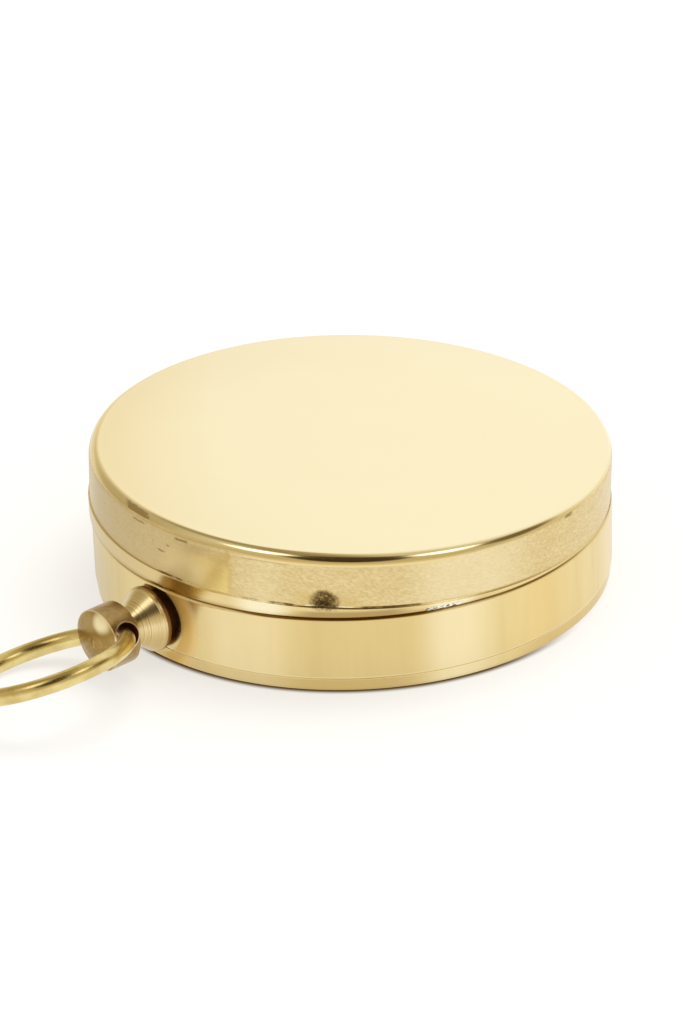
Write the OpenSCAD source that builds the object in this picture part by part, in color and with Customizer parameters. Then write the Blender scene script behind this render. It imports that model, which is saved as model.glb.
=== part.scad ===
/* [Case] */
// Diameter of the turned case wall
case_d = 75.8; // [74:0.2:80]
// Height of the shoulder that the lid closes on, above the table
shoulder_z = 11.5; // [11.2:0.1:13]
// Height of the spigot that the lid slides over
spigot_h = 4.6; // [4.2:0.1:6]
// Step from the case wall in to the spigot
shoulder_w = 1.3; // [1:0.1:1.6]
// Thickness of the foot plate's rim
foot_h = 1.9; // [1.6:0.1:2.2]
// How far the foot plate is smaller than the case wall, all round
foot_inset = 0.25; // [0.1:0.05:0.6]
// Height of the foot plate's register inside the case
register_h = 1.2; // [1:0.1:1.6]
// Radial thickness of the case wall below the dial
wall_t = 5.6; // [5:0.1:6.5]
// Round on the case wall's upper edge, under the lid
shoulder_round = 0.65; // [0.3:0.05:0.9]
// Round on the case wall's lower edge, above the foot plate
wall_round = 0.6; // [0.3:0.05:0.9]
// Round on the foot plate's lower edge
foot_round = 0.8; // [0.3:0.05:1]
// Round on the lid's lip and width of the small chamfers
edge_r = 0.35; // [0.2:0.05:0.4]

/* [Lid] */
// How far the turned lip at the lid's foot stands out past the case wall
lip_proud = 0.3; // [0.1:0.1:0.8]
// How far the as-cast band lies behind the turned lip
band_inset = 0.3; // [0.1:0.1:0.6]
// Height of the lip at the front, below the band
lip_h = 1.5; // [1.3:0.1:1.8]
// Height of the as-cast band
band_h = 6.2; // [5.5:0.1:8]
// Radius of the polished roll between band and dome
roll_r = 1.6; // [1.2:0.1:2]
// Rise of the dome above its rim
crown = 1; // [0.6:0.1:2]
// Radius of the dome's level middle
dome_flat_r = 18; // [15:1:24]
// How far the casting leans against its turned lip
cast_tilt = 2.1; // [0:0.1:2.4]
// Thickness of the lid's top
lid_top_t = 1.6; // [1.2:0.1:2]
// Thickness of the lid's cast wall
lid_wall_t = 2.5; // [2.2:0.1:3]
// Radial clearance of the lid on the spigot
lid_fit = 0.08; // [0.03:0.01:0.1]
// Gap between the closed lid and the shoulder
lid_gap = 0.1; // [0.05:0.05:0.2]
// Depth of the punched dimples that grip the spigot
dimple_depth = 0.55; // [0.3:0.05:0.6]
// Radius of the punch that made the dimples
punch_r = 3.4; // [2.5:0.1:4]
// Direction of the front dimple, seen from above
dimple_azimuth = -96.5; // [-180:0.5:180]

/* [Bow and ring] */
// Direction of the bow, seen from above
bow_azimuth = 221.5; // [200:0.5:250]
// Height of the bow's axis above the table
bow_z = 6.25; // [6:0.05:6.4]
// Diameter of the bow's shank
shank_d = 3; // [2.5:0.1:3]
// Diameter of the bow's flange
flange_d = 9.6; // [8:0.1:9.8]
// Diameter of the bow's head
head_d = 9.1; // [8:0.1:9.4]
// Length of the head's straight side
head_l = 4.1; // [3.8:0.1:5]
// Diameter of the waist between flange and head
waist_d = 4.4; // [4:0.1:5]
// Thickness of the washer under the flange
washer_t = 0.9; // [0.6:0.1:1.2]
// Turn of the cross hole about the bow's axis
hole_turn = 20; // [0:1:30]
// How far the cross hole runs off square
hole_skew = 5; // [0:1:8]
// Diameter of the ring's wire
wire_d = 2.5; // [2:0.1:2.6]
// Diameter of the ring at the middle of its wire
ring_d = 23.6; // [22:0.2:30]
// How far the ring lies below the bow's axis at rest
ring_drop = 2.5; // [0:0.5:3]

/* [Dial and glass] */
// Depth of the dial's face below the spigot's rim
dial_depth = 5.75; // [5.7:0.05:6.2]
// Thickness of the dial plate
dial_t = 0.8; // [0.6:0.1:1]
// Thickness of the glass
glass_t = 1.4; // [1:0.1:1.6]
// Thickness of the gasket under the glass
gasket_t = 0.4; // [0.3:0.1:0.5]
// Thickness of the split ring that holds the glass
snap_t = 0.7; // [0.5:0.1:0.8]
// Width of the degree ring's sloping face, seen from above
scale_w = 4.6; // [3.5:0.1:6]
// Distance of the dial screws from the degree ring's inner edge
screw_inset = 3; // [2:0.5:6]
// Diameter of the dial screws' thread
screw_d = 1.4; // [1.2:0.1:1.6]

/* [Needle] */
// Gap between the needle's end and the degree ring, seen from above
needle_gap = 3; // [1:0.5:6]
// Width of the needle at its middle
needle_w = 6; // [5:0.5:8]
// Thickness of the needle
needle_t = 0.4; // [0.3:0.1:0.5]
// Height of the pivot's point above the dial
point_h = 2.1; // [1.9:0.1:2.3]
// Diameter of the pivot pin
pin_d = 1; // [0.8:0.1:1.2]
// Direction that the needle points, seen from above
needle_azimuth = 90; // [0:1:359]

/* [Hidden] */
$fn = 96;

// Radial clearance of pieces that are pressed or screwed together
press_fit = 0.02;
// Radial clearance of pieces that drop into place
drop_fit = 0.1;

// Case, from the table up
case_r = case_d / 2;
foot_r = case_r - foot_inset;
floor_z = foot_h + register_h;
floor_recess = 0.6;
recess_z = floor_z - floor_recess;
recess_in_r = 12;
chamber_r = case_r - wall_t;
register_lap = 1.6;
register_r = chamber_r + register_lap;
spigot_r = case_r - shoulder_w;
rim_z = shoulder_z + spigot_h;

// Stack under the spigot's rim
snap_sunk = 0.1;
snap_top_z = rim_z - snap_sunk;
glass_top_z = snap_top_z - snap_t;
glass_z = glass_top_z - glass_t;
gasket_z = glass_z - gasket_t;
dial_top_z = rim_z - dial_depth;
dial_z = dial_top_z - dial_t;
spigot_wall = 2.2;
glass_seat_r = spigot_r - spigot_wall;
glass_ledge = 0.8;
dial_seat_r = glass_seat_r - glass_ledge;
snap_groove = 0.5;
snap_lap = 1.3;

// Degree ring, whose level rim lies under the gasket
scale_out_r = dial_seat_r - drop_fit;
scale_rim_w = 0.9;
scale_rim_r = scale_out_r - scale_rim_w;
scale_in_r = scale_rim_r - scale_w;
scale_edge_h = 0.5;

// Pillars and screws of the dial
screw_circle_r = scale_in_r - screw_inset;
pillar_r = 2;
tenon_r = 1;
tenon_h = 0.8;
screw_l = 3.4;
screw_run = 0.6;
screw_head_lap = 0.6;
screw_head_h = 0.6;

// Lid, whose casting leans about the centre of its band
lip_r = case_r + lip_proud;
band_r = lip_r - band_inset;
roll_proud = 0.05;
lip_z = shoulder_z + lid_gap;
band_z = lip_z + lip_h;
band_top_z = band_z + band_h;
lean_z = (band_z + band_top_z) / 2;
dome_rim_r = band_r + roll_proud - roll_r;
dome_rim_z = band_top_z + roll_r;
dome_w = dome_rim_r - dome_flat_r;
dome_r = (dome_w * dome_w + crown * crown) / (2 * crown);
lid_bore_r = spigot_r + lid_fit;
rim_room = 0.35;
lid_bore_top_z = rim_z + rim_room;
lid_room_r = band_r - lid_wall_t;
lid_room_top_z = dome_rim_z - lid_top_t;
dimple_rise = 1;
dimple_z = band_z + dimple_rise;

// Bow, measured outwards from the compass's axis: the washer's flat just clears the round wall
washer_r = 3.6;
washer_seat = sqrt(case_r * case_r - washer_r * washer_r);
flange_r = flange_d / 2;
flange_at = washer_seat + washer_t;
rim_w = 0.5;
rim_groove = 0.1;
cone_at = flange_at + 2 * rim_w + rim_groove;
cone_l = 3.3;
waist_l = 1;
waist_at = cone_at + cone_l;
head_at = waist_at + waist_l;
face_at = head_at + head_l;
face_rise = 0.9;
waist_r = waist_d / 2;
head_r = head_d / 2;
shank_r = shank_d / 2;
shank_play = 0.05;
nut_flat_depth = 0.15;
nut_seat = chamber_r + nut_flat_depth;
spring_washer_t = 0.5;
nut_t = 2.2;
nut_flats = 5.5;
nut_r = nut_flats / 2 / cos(30);
shank_past_nut = 0.4;
shank_end = nut_seat - spring_washer_t - nut_t - shank_past_nut;

// Ring, whose wire bows across the straight hole: the hole is as wide as the bowed wire and its play
wire_r = wire_d / 2;
ring_r = ring_d / 2;
bowed_w = ring_r + wire_r - sqrt(pow(ring_r - wire_r, 2) - head_r * head_r);
ring_play = 0.12;
cross_hole_r = bowed_w / 2 + ring_play;
ring_out = ring_r + wire_r - bowed_w / 2;
cross_hole_cut = 0.15;
cross_hole_at = head_at + cross_hole_r - cross_hole_cut;

// Needle, measured from the point that it turns on
needle_r = scale_in_r - needle_gap;
point_z = dial_top_z + point_h;
point_gap = 0.03;
point_cone_h = 1.1;
jewel_r = 1.1;
jewel_over = 0.55;
jewel_under = 0.65;
jewel_top_z = point_z + jewel_over;
jewel_z = point_z - jewel_under;
cap_wall = 0.6;
cap_top_t = 0.25;
cap_under = 0.45;
cap_r = jewel_r + press_fit + cap_wall;
cap_top_z = jewel_top_z + cap_top_t;
blade_under = 0.75;
blade_z = point_z - blade_under;
weight_share = 0.6;
collar_w = 0.8;
collar_h = 0.4;

// Boss that carries the pin
boss_r = 2.1;
boss_over = 0.5;
boss_top_z = dial_top_z + boss_over;
boss_foot_r = 4.5;
boss_foot_h = 1.5;
boss_tenon_r = 1.5;
boss_tenon_h = 1.6;
pin_seat_h = 3.9;

// Places a child with its axis out along the bow
module along_bow() {
    rotate([0, 0, bow_azimuth]) translate([0, 0, bow_z]) rotate([0, 90, 0]) children();
}

// Places a child with its Y axis through the bow's cross hole
module at_cross_hole() {
    along_bow() translate([0, 0, cross_hole_at])
        rotate([0, 0, hole_turn]) rotate([hole_skew, 0, 0]) children();
}

// Leans a child as the lid's casting leans
module leaning() {
    translate([0, 0, lean_z]) rotate([0, cast_tilt, 0]) translate([0, 0, -lean_z]) children();
}

// Turns a flat ring's section from its radii and heights
module turned_ring(r_in, r_out, z_low, z_high) {
    rotate_extrude() translate([r_in, z_low]) square([r_out - r_in, z_high - z_low]);
}

// Places one child at each dial screw
module at_dial_screws() {
    for (a = [30, 150, 270]) rotate([0, 0, a]) translate([screw_circle_r, 0, 0]) children();
}

// Foot plate: the floor of the case, with the register that enters the case wall
module base_plate() {
    color("goldenrod") difference() {
        rotate_extrude() difference() {
            union() {
                square([foot_r, foot_h]);
                square([register_r - press_fit, floor_z]);
            }
            translate([recess_in_r, recess_z]) square([chamber_r - recess_in_r, floor_recess + 1]);
            translate([foot_r, 0]) corner_cut(foot_round);
            translate([foot_r, foot_h]) rotate(45) square(edge_r, center = true);
        }
        at_dial_screws() translate([0, 0, recess_z - tenon_h]) cylinder(r = tenon_r, h = tenon_h + 1);
        translate([0, 0, floor_z - boss_tenon_h]) cylinder(r = boss_tenon_r, h = boss_tenon_h + 1);
    }
}

// Case wall: seats for dial, gasket, glass and snap ring, and the spigot for the lid
module case_ring() {
    color("gold") difference() {
        rotate_extrude() difference() {
            union() {
                translate([chamber_r, foot_h]) square([wall_t, shoulder_z - foot_h]);
                translate([chamber_r, foot_h]) square([spigot_r - chamber_r, rim_z - foot_h]);
            }
            translate([0, foot_h - 1]) square([register_r, register_h + 1]);
            translate([0, dial_z]) square([dial_seat_r, rim_z]);
            translate([0, gasket_z]) square([glass_seat_r, rim_z]);
            translate([0, glass_top_z - press_fit])
                square([glass_seat_r + snap_groove, snap_t + 2 * press_fit]);
            translate([case_r, foot_h]) corner_cut(wall_round);
            translate([case_r, shoulder_z]) mirror([0, 1]) corner_cut(shoulder_round);
            translate([spigot_r, rim_z]) rotate(45) square(edge_r, center = true);
        }
        along_bow() cylinder(r = shank_r + shank_play, h = case_r + 1);
        along_bow() translate([0, 0, washer_seat]) cylinder(r = washer_r + drop_fit, h = wall_t);
        along_bow() translate([0, 0, nut_seat - wall_t]) cylinder(r = nut_r + drop_fit, h = wall_t);
    }
}

// Cut that leaves a corner round: the corner is at the origin, and the round lies up and inwards
module corner_cut(r) {
    difference() {
        translate([-r, -1]) square([r + 1, r + 1]);
        translate([-r, r]) circle(r = r, $fn = 24);
    }
}

// Turned pillars that carry the dial on the foot plate
module dial_pillars() {
    color("darkgoldenrod") at_dial_screws() difference() {
        union() {
            translate([0, 0, recess_z]) cylinder(r = pillar_r, h = dial_z - recess_z);
            translate([0, 0, recess_z - tenon_h]) cylinder(r = tenon_r - press_fit, h = tenon_h + 0.1);
        }
        translate([0, 0, dial_top_z - screw_l - screw_run])
            cylinder(d = screw_d + 2 * press_fit, h = screw_l + screw_run);
    }
}

// Dial plate that carries the painted rose
module dial_plate() {
    color("ivory") difference() {
        translate([0, 0, dial_z]) cylinder(r = dial_seat_r - drop_fit, h = dial_t);
        translate([0, 0, dial_z - 1]) cylinder(r = boss_r + drop_fit / 2, h = dial_t + 2);
        at_dial_screws() translate([0, 0, dial_z - 1]) cylinder(d = screw_d + 2 * drop_fit, h = dial_t + 2);
    }
}

// Slotted screws that hold the dial down on its pillars
module dial_screws() {
    slot_w = 0.3;
    slot_h = 0.3;
    slot_l = screw_d + 2 * screw_head_lap + 1;
    color("silver") at_dial_screws() difference() {
        union() {
            translate([0, 0, dial_top_z - screw_l]) cylinder(d = screw_d, h = screw_l + 0.1);
            translate([0, 0, dial_top_z]) cylinder(d = screw_d + 2 * screw_head_lap, h = screw_head_h);
        }
        translate([-slot_l / 2, -slot_w / 2, dial_top_z + screw_head_h - slot_h]) cube([slot_l, slot_w, 1]);
    }
}

// Degree ring: a sloping silvered scale that the gasket holds down on the dial
module degree_ring() {
    color("lightgray") rotate_extrude() polygon([
        [scale_in_r, dial_top_z], [scale_out_r, dial_top_z], [scale_out_r, gasket_z],
        [scale_rim_r, gasket_z], [scale_in_r, dial_top_z + scale_edge_h]]);
}

// Boss that carries the pivot pin up through the dial
module pivot_boss() {
    color("darkgoldenrod") difference() {
        union() {
            translate([0, 0, floor_z - boss_tenon_h])
                cylinder(r = boss_tenon_r - press_fit, h = boss_tenon_h + 0.1);
            translate([0, 0, floor_z]) cylinder(r = boss_foot_r, h = boss_foot_h);
            translate([0, 0, floor_z]) cylinder(r = boss_r, h = boss_top_z - floor_z);
        }
        translate([0, 0, boss_top_z - pin_seat_h]) cylinder(d = pin_d + 2 * press_fit, h = pin_seat_h + 1);
    }
}

// Hardened pin, ground to the point that the needle turns on
module pivot_pin() {
    pin_z = boss_top_z - pin_seat_h;
    cone_z = point_z - point_cone_h;
    tip_r = 0.03;
    color("dimgray") union() {
        translate([0, 0, pin_z]) cylinder(d = pin_d, h = cone_z - pin_z);
        translate([0, 0, cone_z]) cylinder(r1 = pin_d / 2, r2 = tip_r, h = point_cone_h);
    }
}

// Flat glass with a ground edge
module glass() {
    bevel = 0.25;
    color("lightblue", 0.4) rotate_extrude() difference() {
        translate([0, glass_z]) square([glass_seat_r - drop_fit, glass_t]);
        translate([glass_seat_r - drop_fit, glass_top_z]) rotate(45) square(bevel, center = true);
    }
}

// Gasket between the glass and its seat
module glass_gasket() {
    color("black") turned_ring(scale_rim_r, glass_seat_r - drop_fit, gasket_z, glass_z);
}

// Split ring sprung into the groove above the glass
module glass_snap_ring() {
    gap_w = 3;
    gap_turn = 60;
    color("gold") difference() {
        turned_ring(glass_seat_r - snap_lap, glass_seat_r + snap_groove - drop_fit,
            glass_top_z, snap_top_z);
        rotate([0, 0, gap_turn]) translate([0, -gap_w / 2, glass_top_z - 1])
            cube([case_r, gap_w, snap_t + 2]);
    }
}

// Outer form of the leaning casting: band, roll and dome over a wide blank
module lid_casting() {
    blank_r = lip_r + 2;
    ledge_r = 0.4;
    lap = 0.01;
    leaning() rotate_extrude() {
        square([blank_r, band_z - ledge_r]);
        square([band_r, band_top_z]);
        intersection() {
            translate([band_r, band_z - ledge_r]) circle(r = ledge_r, $fn = 24);
            translate([band_r - lap, band_z - ledge_r]) square([ledge_r, ledge_r]);
        }
        translate([0, band_top_z]) square([dome_rim_r, roll_r]);
        intersection() {
            translate([dome_rim_r, band_top_z]) circle(r = roll_r, $fn = 36);
            translate([dome_rim_r - lap, band_top_z]) square([roll_r + 1, roll_r + 1]);
        }
        translate([0, dome_rim_z - lap]) square([dome_flat_r, crown + lap]);
        intersection() {
            translate([dome_flat_r, dome_rim_z + crown - dome_r]) circle(r = dome_r, $fn = 360);
            translate([dome_flat_r - lap, dome_rim_z - lap]) square([dome_w + lap, crown + 1]);
        }
    }
}

// Lid: a cast shell with a turned lip, bored to slide over the spigot
module lid_shell() {
    blank_spare = 3;
    blank_h = dome_rim_z + crown + blank_spare - lip_z;
    fillet_r = 1.2;
    color("khaki") difference() {
        intersection() {
            rotate_extrude() difference() {
                translate([0, lip_z]) square([lip_r, blank_h]);
                translate([lip_r, lip_z]) corner_cut(edge_r);
            }
            lid_casting();
        }
        translate([0, 0, lip_z - 1]) cylinder(r = lid_bore_r, h = lid_bore_top_z - lip_z + 1);
        leaning() rotate_extrude() difference() {
            translate([0, lip_z]) square([lid_room_r, lid_room_top_z - lip_z]);
            translate([lid_room_r, lid_room_top_z]) mirror([0, 1]) corner_cut(fillet_r);
        }
        for (a = [0, 120, 240]) rotate([0, 0, dimple_azimuth + a])
            translate([band_r + punch_r - dimple_depth, 0, dimple_z]) sphere(r = punch_r, $fn = 32);
    }
}

// Outline of the needle: a long lozenge with an arrow at its north end
module needle_outline() {
    arrow_l = 9;
    arrow_w = 5;
    hub_step = 0.4;
    waist_w = 1.6;
    barb_at = needle_r - arrow_l;
    barb_l = 1.5;
    tail_w = 1;
    union() {
        circle(r = needle_w / 2 - hub_step);
        polygon([[0, -needle_w / 2], [barb_at, -waist_w / 2], [barb_at - barb_l, -arrow_w / 2],
            [needle_r, 0], [barb_at - barb_l, arrow_w / 2], [barb_at, waist_w / 2],
            [0, needle_w / 2], [-needle_r, tail_w / 2], [-needle_r, -tail_w / 2]]);
    }
}

// Magnetised blade
module needle_blade() {
    color("steelblue") rotate([0, 0, needle_azimuth]) difference() {
        translate([0, 0, blade_z]) linear_extrude(needle_t) needle_outline();
        translate([0, 0, blade_z - 1]) cylinder(r = cap_r + press_fit, h = needle_t + 2);
    }
}

// Brass cap that holds the jewel and carries the blade
module needle_cap() {
    flange_t = 0.3;
    flange_w = 0.6;
    color("gold") difference() {
        union() {
            translate([0, 0, blade_z - cap_under]) cylinder(r = cap_r, h = cap_top_z - blade_z + cap_under);
            translate([0, 0, blade_z + needle_t]) cylinder(r = cap_r + flange_w, h = flange_t);
        }
        translate([0, 0, blade_z - 1]) cylinder(r = jewel_r + press_fit, h = jewel_top_z - blade_z + 1);
    }
}

// Jewel whose hollow turns on the pivot's point
module needle_jewel() {
    hollow_r = 0.75;
    hollow_tip_r = 0.05;
    color("crimson") difference() {
        translate([0, 0, jewel_z]) cylinder(r = jewel_r, h = jewel_top_z - jewel_z);
        translate([0, 0, jewel_z - 0.01])
            cylinder(r1 = hollow_r, r2 = hollow_tip_r, h = jewel_under + point_gap + 0.01);
    }
}

// Collar riveted under the blade on the cap
module needle_collar() {
    color("darkgoldenrod") turned_ring(cap_r + press_fit, cap_r + collar_w, blade_z - collar_h, blade_z);
}

// Balance weight, a strip folded round the south arm
module needle_counterweight() {
    at = weight_share * needle_r;
    arm_w = needle_w * (1 - weight_share) + weight_share;
    strip_t = 0.3;
    strip_l = 1.6;
    slot_play = 0.4;
    slot_w = arm_w + slot_play;
    fold_w = slot_w + 2 * strip_t;
    color("gold") rotate([0, 0, needle_azimuth]) translate([-at, 0, blade_z - strip_t]) difference() {
        translate([-strip_l / 2, -fold_w / 2, 0]) cube([strip_l, fold_w, needle_t + 2 * strip_t]);
        translate([-strip_l, -slot_w / 2, strip_t]) cube([2 * strip_l, slot_w, needle_t]);
    }
}

// Section of the bow: shank, grooved flange, cone, waist and domed head
module bow_section() {
    end_chamfer = 0.3;
    rim_chamfer = 0.1;
    groove_depth = 0.15;
    rim_drop = 0.05;
    cone_break = 0.3;
    waist_flare = 0.4;
    head_chamfer = 0.2;
    face_r = (head_r * head_r + face_rise * face_rise) / (2 * face_rise);
    groove_at = flange_at + rim_w;
    polygon([
        [0, shank_end], [shank_r - end_chamfer, shank_end], [shank_r, shank_end + end_chamfer],
        [shank_r, flange_at], [flange_r - rim_chamfer, flange_at], [flange_r, flange_at + rim_chamfer],
        [flange_r, groove_at], [flange_r - groove_depth, groove_at + rim_groove / 2],
        [flange_r - rim_drop, groove_at + rim_groove], [flange_r - 2 * rim_drop, cone_at - cone_break / 2],
        [flange_r - cone_break, cone_at], [waist_r, waist_at], [waist_r, head_at - waist_flare],
        [head_r - head_chamfer, head_at], [head_r, head_at + head_chamfer],
        [head_r, face_at], [0, face_at]]);
    intersection() {
        translate([0, face_at + face_rise - face_r]) circle(r = face_r);
        translate([0, face_at - 0.01]) square([head_r, face_rise + 1]);
    }
}

// Bow: turned in one piece and drilled across its head
module bow_stud() {
    color("peru") difference() {
        along_bow() rotate_extrude() bow_section();
        at_cross_hole() rotate([90, 0, 0]) cylinder(r = cross_hole_r, h = head_d * 2, center = true);
    }
}

// Washer that stands the flange off the case wall
module bow_washer() {
    color("saddlebrown") along_bow() turned_ring(shank_r + shank_play, washer_r, washer_seat, flange_at);
}

// Split washer that keeps the nut tight
module bow_spring_washer() {
    slit = 0.5;
    color("dimgray") along_bow() difference() {
        turned_ring(shank_r + drop_fit, nut_flats / 2, nut_seat - spring_washer_t, nut_seat);
        translate([0, -slit / 2, nut_seat - 2 * spring_washer_t]) cube([nut_r, slit, 3 * spring_washer_t]);
    }
}

// Hexagon nut that holds the bow inside the case
module bow_nut() {
    color("goldenrod") along_bow() translate([0, 0, nut_seat - spring_washer_t - nut_t]) difference() {
        rotate([0, 0, 30]) cylinder(r = nut_r, h = nut_t, $fn = 6);
        translate([0, 0, -1]) cylinder(r = shank_r + press_fit, h = nut_t + 2);
    }
}

// Ring of round wire, closed with a butt joint, that swings in the cross hole
module bow_ring() {
    joint_w = 0.2;
    joint_turn = 180;
    color("gold") at_cross_hole() rotate([0, ring_drop, 0])
        translate([0, 0, ring_out]) rotate([0, 90, 0]) difference() {
            rotate_extrude() translate([ring_r, 0]) circle(r = wire_r, $fn = 48);
            rotate([0, 0, joint_turn]) translate([0, -joint_w / 2, -wire_d])
                cube([ring_d, joint_w, 2 * wire_d]);
        }
}

base_plate();
case_ring();
dial_pillars();
dial_plate();
dial_screws();
degree_ring();
pivot_boss();
pivot_pin();
glass();
glass_gasket();
glass_snap_ring();
lid_shell();
needle_blade();
needle_cap();
needle_jewel();
needle_collar();
needle_counterweight();
bow_stud();
bow_washer();
bow_spring_washer();
bow_nut();
bow_ring();
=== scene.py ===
# %% [markdown]
# # A lidded brass pocket compass
# The compass is already built as exact solids. This lesson gives those solids their looks: polished and
# as-cast brass, turned bronze, drawn wire, glass, a painted dial and a blued needle. Everything is in
# metres, in the frame of the solids: +Z is up and the camera stands towards -Y.

# %% Load the solids
import math
import bpy
import numpy as np
from mathutils import Matrix, Vector


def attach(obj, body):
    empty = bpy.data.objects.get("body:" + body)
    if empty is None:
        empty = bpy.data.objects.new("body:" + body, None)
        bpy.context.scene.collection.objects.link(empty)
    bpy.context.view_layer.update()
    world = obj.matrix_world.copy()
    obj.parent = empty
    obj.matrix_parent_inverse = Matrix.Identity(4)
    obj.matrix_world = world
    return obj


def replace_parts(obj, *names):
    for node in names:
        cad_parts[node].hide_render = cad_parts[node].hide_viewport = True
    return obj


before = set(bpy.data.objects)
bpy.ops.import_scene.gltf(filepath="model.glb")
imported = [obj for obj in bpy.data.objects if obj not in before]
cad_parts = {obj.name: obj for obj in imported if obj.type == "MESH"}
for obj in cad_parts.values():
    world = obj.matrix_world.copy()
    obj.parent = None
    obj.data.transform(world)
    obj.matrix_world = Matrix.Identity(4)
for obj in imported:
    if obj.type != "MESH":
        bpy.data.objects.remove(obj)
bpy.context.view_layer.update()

MM = 0.001

# %% [markdown]
# ## Camera
# A camera has a place, a direction and a lens. The photograph was taken from 26 degrees above the table,
# about 0.6 m away, with a long lens, so the near and far rims look almost equally wide. A Track To
# constraint could aim the camera, but this one is also tilted by two degrees, so its matrix is written out.
# The columns of the matrix are three unit vectors: its right, its up, and where it looks back from.

# %% Place the camera
PITCH, ROLL, REACH = math.radians(26.45), math.radians(-2.07), 0.613
PHOTO_ROWS, SENSOR_MM = 1024, 36
LENS_ROWS = 4200  # from the lens to the picture, counted in rows of the photograph
SHIFT_RIGHT, SHIFT_UP = -10.2, -6.5  # rows as well
aim = Vector((0, 0, 10 * MM))
back = Vector((0, -math.cos(PITCH), math.sin(PITCH)))
right = Vector((1, 0, 0))
above = back.cross(right)
tilted_right = math.cos(ROLL) * right + math.sin(ROLL) * above
tilted_up = math.cos(ROLL) * above - math.sin(ROLL) * right

lens = bpy.data.cameras.new("camera")
lens.sensor_fit, lens.sensor_height = "VERTICAL", SENSOR_MM
lens.lens = LENS_ROWS * SENSOR_MM / PHOTO_ROWS
lens.shift_x, lens.shift_y = SHIFT_RIGHT / PHOTO_ROWS, SHIFT_UP / PHOTO_ROWS
camera = bpy.data.objects.new("camera", lens)
turn = Matrix((tilted_right, tilted_up, back)).transposed()
camera.matrix_world = Matrix.Translation(aim + REACH * back) @ turn.to_4x4()
scene = bpy.context.scene
scene.collection.objects.link(camera)
scene.camera = camera
scene.view_settings.view_transform = "Standard"
print("camera at", [round(v, 3) for v in camera.location], "lens", round(lens.lens, 1), "mm")

# %% [markdown]
# ## Shader sums as Python
# A finish is a tree of nodes, and most of a pattern is arithmetic on the point's place. Writing that as
# nodes by hand hides the formula. So a small class wraps one socket and turns `a * b + 1` into Math nodes.
# Anything else, such as noise or a colour mix, comes from the one method `node`.

# %% A socket that can be added and multiplied
class Wire:
    """One output of a shader node. Sums with numbers or other wires add Math nodes."""

    def __init__(self, bench, socket):
        self.bench, self.socket = bench, socket

    def __add__(self, other):
        return self.bench.maths("ADD", self, other)

    def __sub__(self, other):
        return self.bench.maths("SUBTRACT", self, other)

    def __mul__(self, other):
        return self.bench.maths("MULTIPLY", self, other)

    def __truediv__(self, other):
        return self.bench.maths("DIVIDE", self, other)

    def __pow__(self, other):
        return self.bench.maths("POWER", self, other)

    def __rsub__(self, other):
        return self.bench.maths("SUBTRACT", other, self)

    __radd__, __rmul__ = __add__, __mul__


print("a Wire can be added, subtracted, multiplied, divided and raised to a power")

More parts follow.
